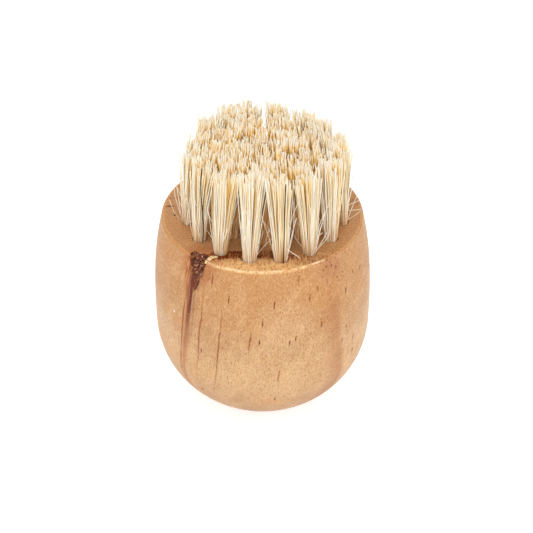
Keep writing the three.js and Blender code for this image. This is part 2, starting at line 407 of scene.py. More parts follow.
class Shader:
    """A material's node tree, with short calls for the nodes used here."""

    def __init__(self, name):
        self.material = bpy.data.materials.new(name)
        self.material.use_nodes = True
        self.tree = self.material.node_tree
        self.surface = self.tree.nodes["Principled BSDF"]

    def add(self, kind, sockets=None, **settings):
        node = self.tree.nodes.new(kind)
        for key, value in settings.items():
            setattr(node, key, value)
        for key, value in (sockets or {}).items():
            self.put(node.inputs[key], value)
        return node

    def put(self, socket, value):
        if isinstance(value, bpy.types.NodeSocket):
            self.tree.links.new(value, socket)
        else:
            socket.default_value = value

    def math(self, operation, *values):
        return self.add("ShaderNodeMath", dict(enumerate(values)), operation=operation).outputs[0]

    def times(self, first, *others):
        """The product of two or more values."""
        for other in others:
            first = self.math("MULTIPLY", first, other)
        return first

    def ramp(self, value, low, high, start=0.0, end=1.0):
        """An eased change from start to end as the value goes from low to high, and level beyond."""
        sockets = {"Value": value, "From Min": low, "From Max": high, "To Min": start, "To Max": end}
        return self.add("ShaderNodeMapRange", sockets, interpolation_type="SMOOTHSTEP").outputs[0]

    def mix(self, share, first, second):
        node = self.add("ShaderNodeMix", {"Factor": share}, data_type="RGBA")
        self.put(node.inputs[6], first)
        self.put(node.inputs[7], second)
        return node.outputs[2]

    def vector(self, operation, *values):
        node = self.add("ShaderNodeVectorMath", dict(enumerate(values)), operation=operation)
        return node.outputs["Value" if operation == "LENGTH" else "Vector"]

    def split(self, place):
        return self.add("ShaderNodeSeparateXYZ", {"Vector": place}).outputs

    def distance(self, place, centre):
        return self.vector("LENGTH", self.vector("SUBTRACT", place, centre))

    def millimetres(self):
        """Object coordinates in millimetres."""
        place = self.add("ShaderNodeTexCoord").outputs["Object"]
        return self.vector("MULTIPLY", place, (1.0 / MM, 1.0 / MM, 1.0 / MM))

    def slanted(self, place, lean):
        """The place with its x measured from a line that leans to the right as it rises."""
        x, y, z = self.split(place)
        upright = self.math("MULTIPLY_ADD", z, -lean, x)
        return self.add("ShaderNodeCombineXYZ", {"X": upright, "Y": y, "Z": z}).outputs[0]

    def noise(self, place, stretch, detail=2.0, roughness=0.5):
        """Soft noise whose features have the given size along each axis, in millimetres."""
        scaled = self.vector("MULTIPLY", place, tuple(1.0 / part for part in stretch))
        sockets = {"Vector": scaled, "Scale": 1.0, "Detail": detail, "Roughness": roughness}
        return self.add("ShaderNodeTexNoise", sockets).outputs["Fac"]

    def spots(self, place, stretch):
        """Distance to the nearest of scattered points, and a random value for each point."""
        scaled = self.vector("MULTIPLY", place, tuple(1.0 / part for part in stretch))
        cells = self.add("ShaderNodeTexVoronoi", {"Vector": scaled, "Scale": 1.0})
        chance = self.add("ShaderNodeSeparateColor", {"Color": cells.outputs["Color"]}).outputs[0]
        return cells.outputs["Distance"], chance

    def upright_ellipse(self, place, centre, reach):
        """Distance from a centre in x and z; 1 is the outline of an ellipse of the given half sizes."""
        scale = (1.0 / reach[0], 0.0, 1.0 / reach[1])
        shift = (-centre[0] / reach[0], 0.0, -centre[1] / reach[1])
        return self.vector("LENGTH", self.vector("MULTIPLY_ADD", place, scale, shift))

    def upright_marks(self, grain, marks, half_width):
        """Least distance to any of the marks, which are ellipses along the grain."""
        least = 9.0
        for across, height, half_length in marks:
            centre = (across - GRAIN_LEAN * height, height)
            reach = self.upright_ellipse(grain, centre, (half_width, half_length))
            least = self.math("MINIMUM", least, reach)
        return least

    def attribute(self, name):
        return self.add("ShaderNodeAttribute", attribute_name=name).outputs["Fac"]

    def bump(self, height, strength, distance):
        sockets = {"Height": height, "Strength": strength, "Distance": distance * MM}
        self.put(self.surface.inputs["Normal"], self.add("ShaderNodeBump", sockets).outputs[0])


class WoodShader(Shader):
    """The block's shader, with the places and masks that the layers of its finish share."""

    def __init__(self):
        super().__init__("lacquered_wood")
        self.place = self.millimetres()
        self.grain = self.slanted(self.place, GRAIN_LEAN)
        self.across, self.deep, self.high = self.split(self.place)
        self.front = self.ramp(self.deep, *FRONT_FADE)
        self.top = self.ramp(self.high, *TOP_FACE)
        self.near_knot = self.distance(self.place, KNOT)
        self.fibre = self.noise(self.grain, (0.26, 0.26, 0.7), 1.0, 0.6)


def plain_wood(wood):
    """Wood without its marks: blotches, darker above, a pale cloud and lobe, fine grain and a figure."""
    blotch = wood.ramp(wood.noise(wood.place, (8, 8, 7), 3.0, 0.6), 0.3, 0.7)
    colour = wood.mix(blotch, DULL_WOOD, PALE_WOOD)
    warm = wood.noise(wood.place, (13, 13, 9), 2.0)
    colour = wood.mix(wood.ramp(warm, 0.5, 0.75, 0.0, 0.5), colour, HONEY_WOOD)
    colour = wood.mix(wood.ramp(wood.high, 26.0, 46.0, 0.0, 0.6), colour, UPPER_WOOD)
    wavy = wood.math("MULTIPLY_ADD", wood.noise(wood.place, (7, 7, 7)), 12.0, wood.high)
    cloud = wood.times(wood.ramp(wavy, 40.0, 32.0), wood.ramp(wood.high, 10.0, 20.0), 0.35)
    colour = wood.mix(cloud, colour, PALE_CLOUD)
    lobe = wood.upright_ellipse(wood.place, PALE_LOBE, PALE_LOBE_REACH)
    colour = wood.mix(wood.times(wood.ramp(lobe, 1.0, 0.2, 0.0, 0.4), wood.front), colour, LOBE_WOOD)
    colour = wood.mix(wood.ramp(wood.fibre, 0.5, 0.7, 0.0, 0.52), colour, DARK_GRAIN)
    colour = wood.mix(wood.ramp(wood.fibre, 0.46, 0.28, 0.0, 0.34), colour, PALE_GRAIN)
    figure = wood.noise(wood.slanted(wood.place, FIGURE_SLANT), (3.5, 6, 9), 3.0, 0.7)
    colour = wood.mix(wood.ramp(figure, 0.5, 0.72, 0.0, 0.3), colour, PALE_FIGURE)
    return wood.mix(wood.ramp(figure, 0.48, 0.28, 0.0, 0.25), colour, DARK_FIGURE)


def top_face(wood, colour):
    """End grain with painted shade on the top face behind the ring, and before the ring a paler strip with
    short marks.
    """
    behind_ring = wood.times(wood.top, wood.ramp(wood.deep, *TOP_TO_FRONT))
    end_grain = wood.ramp(wood.noise(wood.place, (0.28, 0.4, 0.28), 2.0, 0.6), 0.35, 0.65)
    end_grain_and_shade = wood.mix(end_grain, DARK_END_GRAIN_AND_SHADE, PALE_END_GRAIN_AND_SHADE)
    # painted shade mixed with end grain: the top face behind the ring is darker
    colour = wood.mix(wood.times(behind_ring, 0.65), colour, end_grain_and_shade)
    before_ring = wood.math("SUBTRACT", wood.top, behind_ring)
    colour = wood.mix(wood.times(before_ring, 0.7), colour, TOP_FRONT)
    marks = wood.ramp(wood.noise(wood.place, (0.6, 1.0, 0.7), 3.0, 0.7), 0.48, 0.62, 0.0, 0.65)
    return wood.mix(wood.times(before_ring, marks), colour, TOP_MARKS)


def short_of_ring(wood):
    """Millimetres to go to the next ring: rings are circles about the heart that sway and wander a little."""
    x, y, z = wood.across, wood.deep, wood.high
    turn = math.pi / RING_SWAY_HEIGHT
    sway = wood.math("SINE", wood.math("MULTIPLY_ADD", z, -turn, BODY_HEIGHT * turn))
    from_x = wood.math("SUBTRACT", x, HEART_X)
    from_y = wood.math("ADD", y, wood.math("MULTIPLY_ADD", sway, RING_SWAY, -HEART_Y))
    squares = wood.math("ADD", wood.math("POWER", from_x, 2.0), wood.math("POWER", from_y, 2.0))
    wander = wood.math("MULTIPLY_ADD", wood.noise(wood.grain, (9, 9, 30), 3.0), 1.6, -0.8 - RING_RADIUS)
    jag = wood.math("MULTIPLY_ADD", wood.noise(wood.place, (1.1, 1.1, 1.1), 3.0, 0.7), 2.0, -1.0)
    wander = wood.math("MULTIPLY_ADD", jag, wood.top, wander)
    reach = wood.math("ADD", wood.math("SQRT", squares), wander)
    year = wood.math("FRACT", wood.math("DIVIDE", reach, RING_SPACING))
    return wood.math("MULTIPLY_ADD", year, -RING_SPACING, RING_SPACING)


def late_wood(wood, short):
    """Dark late wood: it deepens over a few millimetres up to each ring, in thin layers, and stops there.

    On the right it is wider and softer, and below it is narrower.
    """
    on_top = wood.ramp(wood.deep, *RING_TO_BACK, TOP_LATE_WOOD - LATE_WOOD, BACK_LATE_WOOD - LATE_WOOD)
    left_width = wood.ramp(wood.high, 20.0, 44.0, LOW_LATE_WOOD, LATE_WOOD)
    width = wood.ramp(wood.across, 2.0, 10.0, left_width, RIGHT_LATE_WOOD)
    width = wood.math("MULTIPLY_ADD", wood.top, on_top, width)
    late = wood.math("MINIMUM", wood.ramp(short, width, 0.0, 0.0, 1.5), 1.0)
    layers = wood.add("ShaderNodeCombineXYZ", {"X": short, "Y": wood.across, "Z": wood.high}).outputs[0]
    faint = wood.ramp(wood.across, *LEFT_TO_RIGHT, 0.35, 0.8)
    strong = wood.ramp(wood.across, *LEFT_TO_RIGHT, 1.25, 1.0)
    lines = wood.ramp(wood.noise(layers, (0.6, 6, 26), 3.0, 0.65), 0.34, 0.62, faint, strong)
    edge = wood.ramp(short, 0.0, wood.ramp(wood.across, *LEFT_TO_RIGHT, 0.5, 1.8))
    return wood.times(late, edge, lines)


def growth_ring(wood, colour):
    """The stain round the knot, and the ring: darkest by the knot, and broken into rays on the top face."""
    colour = wood.mix(wood.ramp(wood.near_knot, 7.0, 3.0, 0.0, 0.5), colour, KNOT_STAIN)
    short = short_of_ring(wood)
    stain = wood.ramp(wood.near_knot, 42.0, 5.0)
    rays = wood.noise(wood.place, (0.4, 2.6, 2.6), 3.0, 0.65)
    off_top = wood.math("SUBTRACT", 1.0, wood.top)

    left_depth = wood.math("MULTIPLY_ADD", stain, 0.35, 0.75)
    right_depth = wood.ramp(wood.high, 50.0, 36.0, 0.15, 0.52)
    side_depth = wood.ramp(wood.across, *LEFT_TO_RIGHT, left_depth, right_depth)
    side_depth = wood.times(side_depth, wood.ramp(wood.deep, -8.0, 2.0, 1.0, 0.55))
    top_depth = wood.times(wood.top, wood.ramp(wood.deep, *RING_TO_BACK, 0.7, 0.4))
    thinned = wood.times(wood.top, wood.ramp(rays, 0.42, 0.64, 0.0, 0.6))
    depth = wood.times(wood.math("ADD", side_depth, top_depth), wood.math("SUBTRACT", 1.0, thinned))

    strand = wood.ramp(wood.noise(wood.grain, (0.45, 0.45, 16), 2.0, 0.6), 0.42, 0.58)
    shade = wood.mix(stain, RING_BROWN, RING_BY_KNOT)
    outer_edge = wood.times(wood.ramp(short, 1.6, 0.6), off_top)
    shade = wood.mix(outer_edge, shade, wood.mix(strand, RING_DARK_STRAND, RING_PALE_STRAND))
    shade = wood.mix(wood.ramp(wood.across, *LEFT_TO_RIGHT), shade, RING_ON_RIGHT)
    top_shade = wood.mix(wood.ramp(rays, 0.4, 0.6), RING_DARK_RAY, RING_PALE_RAY)
    shade = wood.mix(wood.times(wood.top, 0.85), shade, top_shade)
    return wood.mix(wood.times(late_wood(wood, short), depth), colour, shade)


def marks_along_grain(wood, colour):
    """Pores, the streak's core, resin lines, flecks and dashes, and how far pores and flecks are sunk."""
    near, chance = wood.spots(wood.grain, (0.5, 0.5, 0.85))
    pore = wood.times(wood.ramp(near, 0.34, 0.12), wood.ramp(chance, 0.35, 1.0))
    colour = wood.mix(wood.times(pore, 0.8), colour, PORE_BROWN)

    drift = wood.math("SUBTRACT", wood.noise(wood.place, (4, 4, 5), 2.0), 0.5)
    swayed = wood.vector("ADD", wood.grain, wood.add("ShaderNodeCombineXYZ", {"X": drift}).outputs[0])
    ragged = wood.math("MULTIPLY_ADD", wood.fibre, 2.6, -1.3)
    core = wood.math("ADD", wood.upright_marks(swayed, RESIN_CORES, CORE_HALF_WIDTH), ragged)
    colour = wood.mix(wood.times(wood.ramp(core, 1.0, 0.2), wood.front, 0.8), colour, CORE_BROWN)
    line = wood.math("ADD", wood.upright_marks(swayed, RESIN_LINES, LINE_HALF_WIDTH), ragged)
    colour = wood.mix(wood.times(wood.ramp(line, 1.1, 0.2), wood.front, 0.85), colour, LINE_BROWN)

    near, chance = wood.spots(swayed, (1.9, 1.9, 9.0))
    dash = wood.times(wood.ramp(near, 0.13, 0.05), wood.ramp(chance, 0.45, 0.8))
    fleck = wood.math("ADD", wood.upright_marks(wood.grain, FLECKS, FLECK_HALF_WIDTH), ragged)
    fleck = wood.math("MAXIMUM", dash, wood.times(wood.ramp(fleck, 1.0, 0.5), wood.front))
    bold = wood.ramp(wood.noise(wood.place, (5, 5, 5), 1.0), 0.35, 0.6, 0.6, 0.95)
    colour = wood.mix(wood.times(fleck, bold), colour, FLECK_BROWN)
    return colour, wood.math("ADD", fleck, pore)


def single_marks(wood, colour):
    """The pin mark, a small pale spot and the mark at the left of the rim, and the stained specks at its
    right.
    """
    marks = [
        (PIN_MARK, PIN_MARK_REACH, PIN_BROWN),
        (PALE_SPOT, PALE_SPOT_REACH, PALE_SPOT_COLOUR),
        (RIM_MARK, RIM_MARK_REACH, RIM_MARK_BROWN),
    ]
    for centre, reach, shade in marks:
        away = wood.vector("DIVIDE", wood.vector("SUBTRACT", wood.place, centre), reach)
        colour = wood.mix(wood.ramp(wood.vector("LENGTH", away), 1.0, 0.4), colour, shade)
    from_specks = wood.distance(wood.place, SPECKS)
    colour = wood.mix(wood.ramp(from_specks, 5.0, 1.0, 0.0, 0.4), colour, SPECK_STAIN)
    near, chance = wood.spots(wood.grain, (0.75, 0.75, 1.5))
    speck = wood.times(wood.ramp(near, 0.36, 0.2), wood.ramp(chance, 0.35, 0.6))
    return wood.mix(wood.times(speck, wood.ramp(from_specks, 7.0, 2.0), 0.8), colour, SPECK_BROWN)


def broken_wood(wood, colour):
    """The chip: long facets of broken resin with pale glints near the top and a dark edge."""
    crumble = wood.math("MULTIPLY_ADD", wood.noise(wood.place, (0.9, 0.9, 1.6), 3.0, 0.65), 0.5, -0.25)
    torn = wood.math("ADD", wood.attribute("resin"), crumble)
    facets = wood.noise(wood.slanted(wood.place, CHIP_SLANT), (0.55, 0.55, 2.4), 3.0, 0.65)
    broken = wood.mix(wood.ramp(facets, 0.4, 0.6), DARK_FACET, PALE_FACET)
    glint = wood.times(wood.ramp(facets, 0.56, 0.66), wood.ramp(wood.high, 46.5, 51.0))
    broken = wood.mix(glint, broken, GLINT)
    broken = wood.mix(wood.ramp(torn, 0.7, 0.4, 0.0, 0.6), broken, BROKEN_EDGE)
    return wood.mix(wood.ramp(torn, 0.15, 0.5), colour, broken)


def highlit_and_worn_rim(wood, colour):
    """A warm painted highlight round the rim, and along its front a pale line in patches that is partly wear
    and partly painted highlight.
    """
    frayed = wood.math("MULTIPLY_ADD", wood.noise(wood.place, (0.5, 0.5, 0.5), 2.0, 0.7), 1.4, -0.7)
    rim = wood.ramp(wood.math("ADD", wood.attribute("rim"), frayed), 0.5, 1.0)
    # painted highlight: a warm line round the rim
    colour = wood.mix(wood.times(rim, 0.5), colour, WARM_RIM_HIGHLIGHT)
    patchy = wood.ramp(wood.noise(wood.place, (2.0, 2.0, 2.0), 2.0), 0.35, 0.6, 0.45, 1.0)
    # partly wear, partly painted highlight: the pale line along the front of the rim
    worn_and_highlit = wood.math("ADD", wood.times(wood.attribute("worn_and_highlit"), patchy), frayed)
    return wood.mix(wood.times(wood.ramp(worn_and_highlit, 0.25, 0.85), 0.82), colour, PALE_RIM_WEAR_AND_HIGHLIGHT)


def shaded_hole_walls(wood, colour):
    """Painted shade down the drilled holes, which lie within the field and below the top face."""
    from_axis = wood.vector("LENGTH", wood.vector("MULTIPLY", wood.place, (1.0, 1.0, 0.0)))
    drilled = wood.times(wood.ramp(from_axis, *FIELD_EDGE), wood.ramp(wood.high, *HOLE_WALLS))
    return wood.mix(wood.times(drilled, wood.ramp(wood.high, *BELOW_HOLES)), colour, HOLE_SHADE)


def wood_material():
    """Lacquered softwood: plain wood, the top face with painted shade, the ring, the marks, the chip, the
    rim's painted highlights and the holes' painted shade.
    """
    wood = WoodShader()
    colour = growth_ring(wood, top_face(wood, plain_wood(wood)))
    colour, sunk = marks_along_grain(wood, colour)
    colour = broken_wood(wood, single_marks(wood, colour))
    colour = shaded_hole_walls(wood, highlit_and_worn_rim(wood, colour))
    wood.put(wood.surface.inputs["Base Color"], colour)
    wood.put(wood.surface.inputs["Roughness"], wood.math("MULTIPLY_ADD", wood.fibre, 0.2, 0.38))
    wood.surface.inputs["Specular IOR Level"].default_value = 0.18
    wood.surface.inputs["Coat Weight"].default_value = 0.04
    wood.surface.inputs["Coat Roughness"].default_value = 0.3
    wood.bump(wood.math("SUBTRACT", wood.fibre, sunk), 0.3, 0.08)
    return wood.material


def bristle_material():
    """Natural bristle: every fibre has its own tone from straw to ivory, with a paler tip and painted shade
    at the root.

    Fibres inside a tuft get a painted golden shade near the tips, and buried ones a painted shade lower down.
    A negative tone is dark.
    """
    hair = Shader("natural_bristle")
    tone = hair.attribute("tone")
    along = hair.attribute("along")
    colour = hair.mix(hair.ramp(tone, 0.1, 0.5), STRAW, IVORY)
    colour = hair.mix(hair.ramp(tone, 0.45, 0.9), colour, PALE_IVORY)
    upper = hair.times(hair.ramp(along, 1.0, 0.92, 0.0, 0.85), hair.ramp(along, 0.5, 0.8, 0.4, 1.0))
    # painted shade: fibres inside a tuft turn golden near the tips
    colour = hair.mix(hair.times(hair.attribute("inside"), upper), colour, GOLDEN_SHADE)
    lower = hair.ramp(along, 0.92, 0.55, 0.0, 0.8)
    # painted shade lower down on buried fibres
    colour = hair.mix(hair.times(hair.attribute("buried"), lower), colour, SHADED_STRAW)
    colour = hair.mix(hair.ramp(along, 0.95, 1.0, 0.0, 0.4), colour, CUT_TIP)
    # painted shade between the strands at the roots
    root = hair.times(hair.ramp(along, 0.62, 0.36), hair.ramp(tone, 0.8, 0.4, 0.3, 0.85))
    colour = hair.mix(root, colour, ROOT_SHADE)
    streak = hair.noise(hair.millimetres(), (0.3, 0.3, 3.0))
    colour = hair.mix(hair.ramp(streak, 0.55, 0.8, 0.0, 0.25), colour, STREAK_BROWN)
    colour = hair.mix(hair.ramp(tone, -0.2, -0.6), colour, DARK_BRISTLE)
    hair.put(hair.surface.inputs["Base Color"], colour)
    hair.surface.inputs["Roughness"].default_value = 0.38
    hair.surface.inputs["Specular IOR Level"].default_value = 0.1
    return hair.material


def splinter_material():
    """Bare torn wood, pale with darker fibres along it."""
    torn = Shader("torn_wood")
    fibre = torn.noise(torn.millimetres(), (0.25, 0.25, 0.25), 3.0, 0.6)
    colour = torn.mix(torn.ramp(fibre, 0.35, 0.7), TORN_DARK, TORN_PALE)
    torn.put(torn.surface.inputs["Base Color"], colour)
    torn.surface.inputs["Roughness"].default_value = 0.7
    torn.bump(fibre, 0.4, 0.08)
    return torn.material


def anchor_material():
    """Drawn flat wire, with fine marks along its length."""
    wire = Shader("drawn_wire")
    marks = wire.noise(wire.millimetres(), (6.0, 0.1, 0.1))
    wire.put(wire.surface.inputs["Base Color"], wire.mix(marks, DULL_WIRE, BRIGHT_WIRE))
    wire.put(wire.surface.inputs["Roughness"], wire.math("MULTIPLY_ADD", marks, 0.2, 0.3))
    wire.surface.inputs["Metallic"].default_value = 1.0
    return wire.material


# Wooden block

def block_outline():
    """Radius and height along the turned outline, from the base over the belly and the rim to the top.

    The side is an arc of an ellipse from the foot to the belly, and above it the radius falls from the
    belly to the rim by a power of the height. The rim is a quarter circle. Rows lie closer near the rim.
    """
    foot_share = 1.0 - (BASE_RADIUS / BELLY_RADIUS) ** 2
    base = np.linspace(1.0, BASE_RADIUS, BASE_ROWS + 1)[:-1]
    turn = np.arcsin(np.sqrt(foot_share)) * np.linspace(1, 0, LOWER_ROWS)
    lower_radius = BELLY_RADIUS * np.cos(turn)
    lower_height = BELLY_HEIGHT * (1.0 - np.sin(turn) / np.sqrt(foot_share))
    ease_start = BODY_HEIGHT - RIM_EASE
    climb = 1 - (1 - np.linspace(0, 1, UPPER_ROWS + 1)[1:]) ** 1.8
    upper_height = BELLY_HEIGHT + (ease_start - BELLY_HEIGHT) * climb
    upper_share = (upper_height - BELLY_HEIGHT) / (BODY_HEIGHT - BELLY_HEIGHT)
    upper_radius = BELLY_RADIUS - (BELLY_RADIUS - RIM_RADIUS) * upper_share**SHOULDER_POWER
    quarter = np.linspace(0, np.pi / 2, RIM_ROWS + 1)[1:]
    rim_radius = upper_radius[-1] - RIM_EASE * (1 - np.cos(quarter))
    rim_height = ease_start + RIM_EASE * np.sin(quarter)
    top_radius = rim_radius[-1] * (1 - np.linspace(0, 1, TOP_ROWS + 2)[1:-1] ** 1.5)
    radius = np.concatenate([base, lower_radius, upper_radius, rim_radius, top_radius])
    height = np.concatenate([0 * base, lower_height, upper_height, rim_height, 0 * top_radius + BODY_HEIGHT])
    return radius, height


def block_angles():
    """Angles round the block, closer together near the chip: the inverse of a running sum of weights."""
    fine = np.linspace(-np.pi, np.pi, 4001) + CHIP_ANGLE
    weight = 1.0 + CHIP_CLOSER * np.exp(-(((fine - CHIP_ANGLE) * RIM_RADIUS / CHIP_CLOSER_REACH) ** 2))
    total = np.concatenate([[0], np.cumsum((weight[1:] + weight[:-1]) / 2)])
    return np.interp(np.linspace(0, total[-1], BLOCK_COLUMNS + 1)[:-1], total, fine)


def chip_masks(points, sunk=0.0):
    """How far a point lies inside the broken pocket, on the top face and on the side, from 0 to 1.

    On the top it is bounded at the back, on the left and by a slanting line on its right; on the side it is a
    wedge that narrows as it goes down. Sunk is how deep the points may already lie below the turned surface.
    """
    x, y, z = points[..., 0], points[..., 1], points[..., 2]
    down = np.maximum(BODY_HEIGHT - z, 0.0)
    inward = RIM_RADIUS - np.hypot(x, y)
    rough = CHIP_ROUGHNESS * ripple(points, 2.2, 3)
    along = RIM_RADIUS * (np.arctan2(y, x) - CHIP_ANGLE) + rough
    width = CHIP_HALF_WIDTH * (1.0 - down / CHIP_LENGTH)
    side = smooth_step(0.0, CHIP_SIDE_EASE, width - np.abs(along))
    side *= smooth_step(*CHIP_REACH_IN, inward - sunk)
    behind = CHIP_BACK_Y - y + rough
    right = CHIP_RIGHT_X - CHIP_RIGHT_SLANT * (CHIP_BACK_Y - y) - x + rough
    top = smooth_step(0.0, CHIP_TOP_EASE, behind) * smooth_step(0.0, CHIP_TOP_EASE, right)
    top *= smooth_step(*CHIP_LEFT, along) * smooth_step(*CHIP_REACH_DOWN, down - sunk)
    if sunk:
        top *= smooth_step(*CHIP_FROM_RIM, inward)
    return top, side


def make_block():
    """The turned outline carried round the axis, drilled for the tufts and broken at the chip.

    The chip is sunk by its depth with two ripples, down on the top face and inward on the side.
    """
    radius, height = block_outline()
    angle = block_angles()
    ring = np.stack([np.cos(angle), np.sin(angle)], -1)
    points = np.empty((len(radius), len(angle), 3))
    points[..., :2] = radius[:, None, None] * ring[None]
    points[..., 2] = height[:, None]
    top, side = chip_masks(points)
    rough = sum(share * ripple(points, wavelength, seed) for share, wavelength, seed in CHIP_RIPPLES)
    depth = CHIP_DEPTH * (CHIP_MEAN_SHARE + rough)
    down = np.maximum(BODY_HEIGHT - points[..., 2], 0.0)
    points[..., 2] -= top * depth
    points[..., :2] -= (side * depth * (1 - down / CHIP_LENGTH).clip(0))[..., None] * ring[None]
    block = turned_mesh("turned_block", points)
    drill_holes(block)
    return block


def drill_holes(block):
    """Cuts every tuft's hole: a drill with a pointed end and a mouth that flares by a quarter circle."""
    quarter = np.linspace(0, np.pi / 2, 5)
    mouth_radius = HOLE_RADIUS + MOUTH_EASE * (1 - np.cos(quarter))
    mouth_height = MOUTH_EASE * (np.sin(quarter) - 1)
    radius = [POLE_RADIUS, HOLE_RADIUS, *mouth_radius, HOLE_RADIUS + MOUTH_EASE, POLE_RADIUS]
    height = [-HOLE_DEPTH - DRILL_POINT, -HOLE_DEPTH, *mouth_height, DRILL_ABOVE, DRILL_ABOVE]
    angle = np.linspace(0, 2 * np.pi, HOLE_COLUMNS + 1)[:-1]
    level = np.outer(height, np.ones_like(angle))
    shape = np.stack([np.outer(radius, np.cos(angle)), np.outer(radius, np.sin(angle)), level], -1)
    for label in TUFTS:
        x, y, _ = box_centre(f"anchor_{label}")
        drill = turned_mesh("drill", shape + (x, y, BODY_HEIGHT))
        cut = block.modifiers.new("hole", "BOOLEAN")
        cut.operation = "DIFFERENCE"
        cut.solver = "MANIFOLD"
        cut.object = drill
    bpy.context.view_layer.update()
    drilled = bpy.data.meshes.new_from_object(block.evaluated_get(bpy.context.evaluated_depsgraph_get()))
    drills = [cut.object for cut in block.modifiers]
    block.modifiers.clear()
    drilled.materials.clear()
    block.data = drilled
    for drill in drills:
        bpy.data.objects.remove(drill)
    drilled.shade_smooth()
    drilled.set_sharp_from_angle(angle=SHARP_ANGLE)


def mark_block(block):
    """Where the wood is resinous, and where its rim has painted highlight and wear, as values on the block's
    points.

    The rim's value falls with the distance from a circle just inside it and marks a painted highlight; the
    pale line's value, partly wear and partly painted highlight, is its front arc.
    """
    points = np.empty(len(block.data.vertices) * 3, np.float32)
    block.data.vertices.foreach_get("co", points)
    points = points.reshape(-1, 3) / MM
    chip = np.maximum(*chip_masks(points, CHIP_DEPTH))
    from_circle = np.hypot(points[:, 0], points[:, 1]) - RIM_RADIUS + RIM_LINE_INSET
    from_level = points[:, 2] - BODY_HEIGHT + RIM_LINE_DROP
    rim = smooth_step(*RIM_LINE_EDGE, np.hypot(from_circle, from_level)) * (1 - chip)
    angle = np.arctan2(points[:, 1], points[:, 0])
    set_attribute(block, "resin", chip)
    set_attribute(block, "rim", rim)
    set_attribute(block, "worn_and_highlit", rim * smooth_step(*PALE_LINE_REACH, np.abs(angle - PALE_LINE_MIDDLE)))


def make_splinter():
    """A pale curl of torn wood: a flat oval carried along a cubic curve over the edge of the chip.

    Its size swells from its ends by the root of a sine, falls a little on the way, and ripples.
    """
    share = np.linspace(0, 1, SPLINTER_ROWS)
    rest = 1 - share
    weights = np.stack([rest**3, 3 * share * rest**2, 3 * share**2 * rest, share**3], -1)
    path = weights @ np.array(SPLINTER_PATH) + (0, 0, BODY_HEIGHT)
    ahead = np.gradient(path, axis=0)
    ahead /= np.linalg.norm(ahead, axis=1, keepdims=True)
    beside = np.cross(ahead, (0, 0, 1.0))
    beside /= np.linalg.norm(beside, axis=1, keepdims=True)
    above = np.cross(beside, ahead)
    turn = np.linspace(0, 2 * np.pi, SPLINTER_COLUMNS + 1)[:-1]
    swell = ((0.35 + 0.65 * np.sin(np.pi * share) ** 0.5) * (1.05 - 0.2 * share))[:, None, None]
    wide = SPLINTER_HALF_WIDTH * np.cos(turn)[None, :, None] * beside[:, None]
    thick = SPLINTER_HALF_THICKNESS * np.sin(turn)[None, :, None] * above[:, None]
    points = path[:, None] + swell * (wide + thick)
    rough = SPLINTER_ROUGHNESS * ripple(points, 0.75, 8)
    points += rough[..., None] * (0.7 * above + beside)[:, None]
    return turned_mesh("torn_splinter", points)


# Bristles

def fibre_mesh(name, paths, tone, inside, buried, thickness):
    """Fibres as four-sided tubes: a square carried along each path, tapering a little, closed at both ends.

    paths is fibres by stations by 3, in millimetres.
    """
    fibres, stations = paths.shape[:2]
    ahead = np.gradient(paths, axis=1)
    ahead /= np.linalg.norm(ahead, axis=2, keepdims=True)
    beside = np.cross(ahead, NO_FIBRE_WAY)
    beside /= np.linalg.norm(beside, axis=2, keepdims=True)
    above = np.cross(beside, ahead)
    turn = 2 * np.pi * np.arange(FIBRE_SIDES) / FIBRE_SIDES + FIBRE_TWIST * np.arange(fibres)[:, None]
    taper = np.linspace(1.0, FIBRE_TAPER, stations)[None, :, None, None] * thickness[:, None, None, None]
    around = np.cos(turn)[:, None, :, None] * beside[:, :, None]
    around = around + np.sin(turn)[:, None, :, None] * above[:, :, None]
    points = paths[:, :, None] + taper * around
    quads = grid_quads(stations, FIBRE_SIDES)
    per_fibre = stations * FIBRE_SIDES
    start = per_fibre * np.arange(fibres)[:, None]
    root_cap = np.arange(FIBRE_SIDES)[::-1]
    tip_cap = (stations - 1) * FIBRE_SIDES + np.arange(FIBRE_SIDES)
    loops = np.concatenate([(start + part.ravel()).ravel() for part in (quads, root_cap, tip_cap)])
    sizes = np.concatenate([np.full(fibres * len(quads), 4), np.full(2 * fibres, FIBRE_SIDES)])
    piece = make_mesh(name, points.reshape(-1, 3), loops, sizes)
    set_attribute(piece, "tone", np.repeat(tone, per_fibre))
    set_attribute(piece, "inside", np.repeat(inside, per_fibre))
    set_attribute(piece, "buried", np.repeat(buried, per_fibre))
    set_attribute(piece, "along", np.tile(np.repeat(np.linspace(0, 1, stations), FIBRE_SIDES), fibres))
    return piece


def nearest_lock(offset, rng):
    """Each fibre's lock: the nearest of a few evenly spread points, shaken a little."""
    order = np.arange(LOCKS)
    turn = order * GOLDEN_ANGLE + rng.uniform(0, 2 * np.pi)
    lock = np.sqrt((order + 0.5) / LOCKS)[:, None] * np.stack([np.cos(turn), np.sin(turn)], -1)
    lock += rng.normal(0, LOCK_SHAKE, (LOCKS, 2))
    nearest = np.argmin(np.linalg.norm(offset[:, None] - lock[None], axis=2), axis=1)
    return lock, nearest


def root_paths(root):
    """Stations of the folded roots up to the top face: they pass each side of the anchor and meet below."""
    aside = np.where(root[:, 1] < 0, -1.0, 1.0) * np.maximum(np.abs(root[:, 1]), ANCHOR_ROOM)
    paths = np.empty((len(root), len(ROOT_DEPTHS), 3))
    paths[..., 0] = root[:, :1]
    paths[..., 1] = aside[:, None] * ROOT_GATHER
    paths[:, -1, 1] = root[:, 1]
    paths[..., 2] = ROOT_DEPTHS
    return paths


